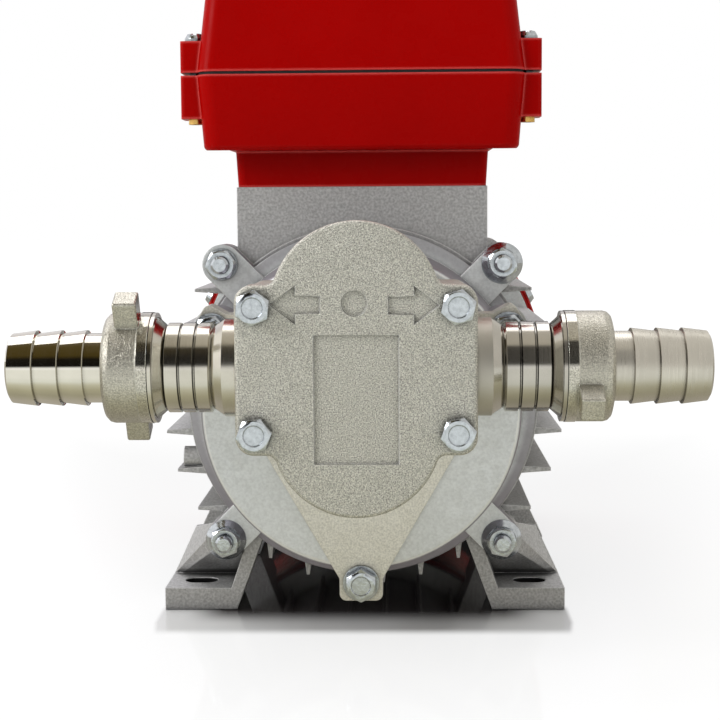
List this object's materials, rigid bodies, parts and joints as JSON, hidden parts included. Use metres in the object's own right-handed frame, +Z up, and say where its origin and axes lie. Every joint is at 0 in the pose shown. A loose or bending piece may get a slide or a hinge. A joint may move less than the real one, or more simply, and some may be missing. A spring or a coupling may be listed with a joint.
{
  "type": "gear pump",
  "caption": "Electric transfer gear pump: meshed gears in an oval cast body on a foot-mounted finned motor, barbed hose unions each side and a terminal box on top.",
  "frame": {"origin": "centre of the four foot slots, on the mounting plane under the feet", "axes": "+Z up, +X to the right seen from the pump end, +Y along the shaft towards the fan"},
  "size_m": [0.1836, 0.237, 0.1937],
  "materials": {
    "nickel_casting": "sand-cast brass, nickel plated, satin",
    "nickel_polished": "turned brass, bright nickel plated",
    "zinc_steel": "bright zinc plated",
    "ground_steel": "ground steel",
    "shield_alloy": "die-cast aluminium, satin",
    "housing_alloy": "die-cast aluminium, slightly rough",
    "red_plastic": "moulded, semi-gloss",
    "black_plastic": "moulded, satin",
    "pale_plastic": "moulded, satin",
    "black_rubber": "soft rubber",
    "gasket_fibre": "pressed fibre gasket",
    "bronze": "sintered bronze",
    "yellow_brass": "turned brass",
    "laminations": "stacked electrical sheet",
    "winding": "enamelled wire, varnished"
  },
  "bodies": {
    "pump": {"front_cover": "nickel_casting", "cover_gasket": "gasket_fibre", "cover_bolts": "zinc_steel", "pump_body": "nickel_casting", "idler_pin": "ground_steel", "front_bush": "bronze", "rear_bush": "bronze", "shaft_seal": "black_rubber", "flange_bolts": "zinc_steel", "flange_washers": "zinc_steel", "left_nipple": "nickel_polished", "right_nipple": "nickel_polished", "front_shield": "shield_alloy", "front_bearing_outer": "ground_steel", "motor_housing": "housing_alloy", "stator_core": "laminations", "stator_windings": "winding", "rear_bearing_outer": "ground_steel", "rear_shield": "shield_alloy", "tie_rods": "zinc_steel", "tie_rod_nuts": "zinc_steel", "fan_cover": "red_plastic", "fan_cover_screws": "zinc_steel", "box_base": "red_plastic", "box_gasket": "black_rubber", "box_lid": "red_plastic", "lid_screws": "zinc_steel", "lid_inserts": "yellow_brass", "base_screws": "zinc_steel", "capacitor": "pale_plastic", "terminal_block": "black_plastic", "switch_frame": "black_plastic", "gland_body": "black_plastic", "gland_nut": "black_plastic", "gland_seal": "black_rubber", "gland_locknut": "black_plastic"},
    "rotor": {"motor_shaft": "ground_steel", "rotor_core": "laminations", "drive_gear": "ground_steel", "drive_key": "ground_steel", "front_bearing_inner": "ground_steel", "rear_bearing_inner": "ground_steel", "cooling_fan": "black_plastic"},
    "idler": {"idler_gear": "ground_steel", "idler_bush": "bronze"},
    "left_tail": {"left_hose_tail": "nickel_polished", "left_tail_gasket": "black_rubber"},
    "left_nut": {"left_wing_nut": "nickel_casting"},
    "right_tail": {"right_hose_tail": "nickel_polished", "right_tail_gasket": "black_rubber"},
    "right_nut": {"right_wing_nut": "nickel_casting"},
    "rocker": {"switch_rocker": "black_plastic"}
  },
  "joints": [
    {"name": "rotor_spin", "type": "hinge", "parent": "pump", "child": "rotor", "pos_m": [0, -0.02, 0.063], "axis": [0, 1, 0], "continuous": true},
    {"name": "idler_spin", "type": "hinge", "parent": "pump", "child": "idler", "pos_m": [0, -0.101, 0.095], "axis": [0, 1, 0], "continuous": true},
    {"name": "left_tail_slide", "type": "slide", "parent": "pump", "child": "left_tail", "axis": [-1, 0, 0], "range_m": [0, 0.00452]},
    {"name": "left_nut_turn", "type": "hinge", "parent": "left_tail", "child": "left_nut", "pos_m": [-0.06, -0.101, 0.078], "axis": [-1, 0, 0], "range_deg": [0, 1080]},
    {"name": "right_tail_slide", "type": "slide", "parent": "pump", "child": "right_tail", "axis": [1, 0, 0], "range_m": [0, 0.00452]},
    {"name": "right_nut_turn", "type": "hinge", "parent": "right_tail", "child": "right_nut", "pos_m": [0.06, -0.101, 0.078], "axis": [1, 0, 0], "range_deg": [0, 1080]},
    {"name": "switch_tilt", "type": "hinge", "parent": "pump", "child": "rocker", "pos_m": [0, 0.019, 0.1878], "axis": [-1, 0, 0], "range_deg": [0, 20]}
  ],
  "couplings": [
    {"joint": "idler_spin", "follows": "rotor_spin", "ratio": -1},
    {"joint": "left_tail_slide", "follows": "left_nut_turn", "m_per_rad": 0.00023873},
    {"joint": "right_tail_slide", "follows": "right_nut_turn", "m_per_rad": 0.00023873}
  ]
}
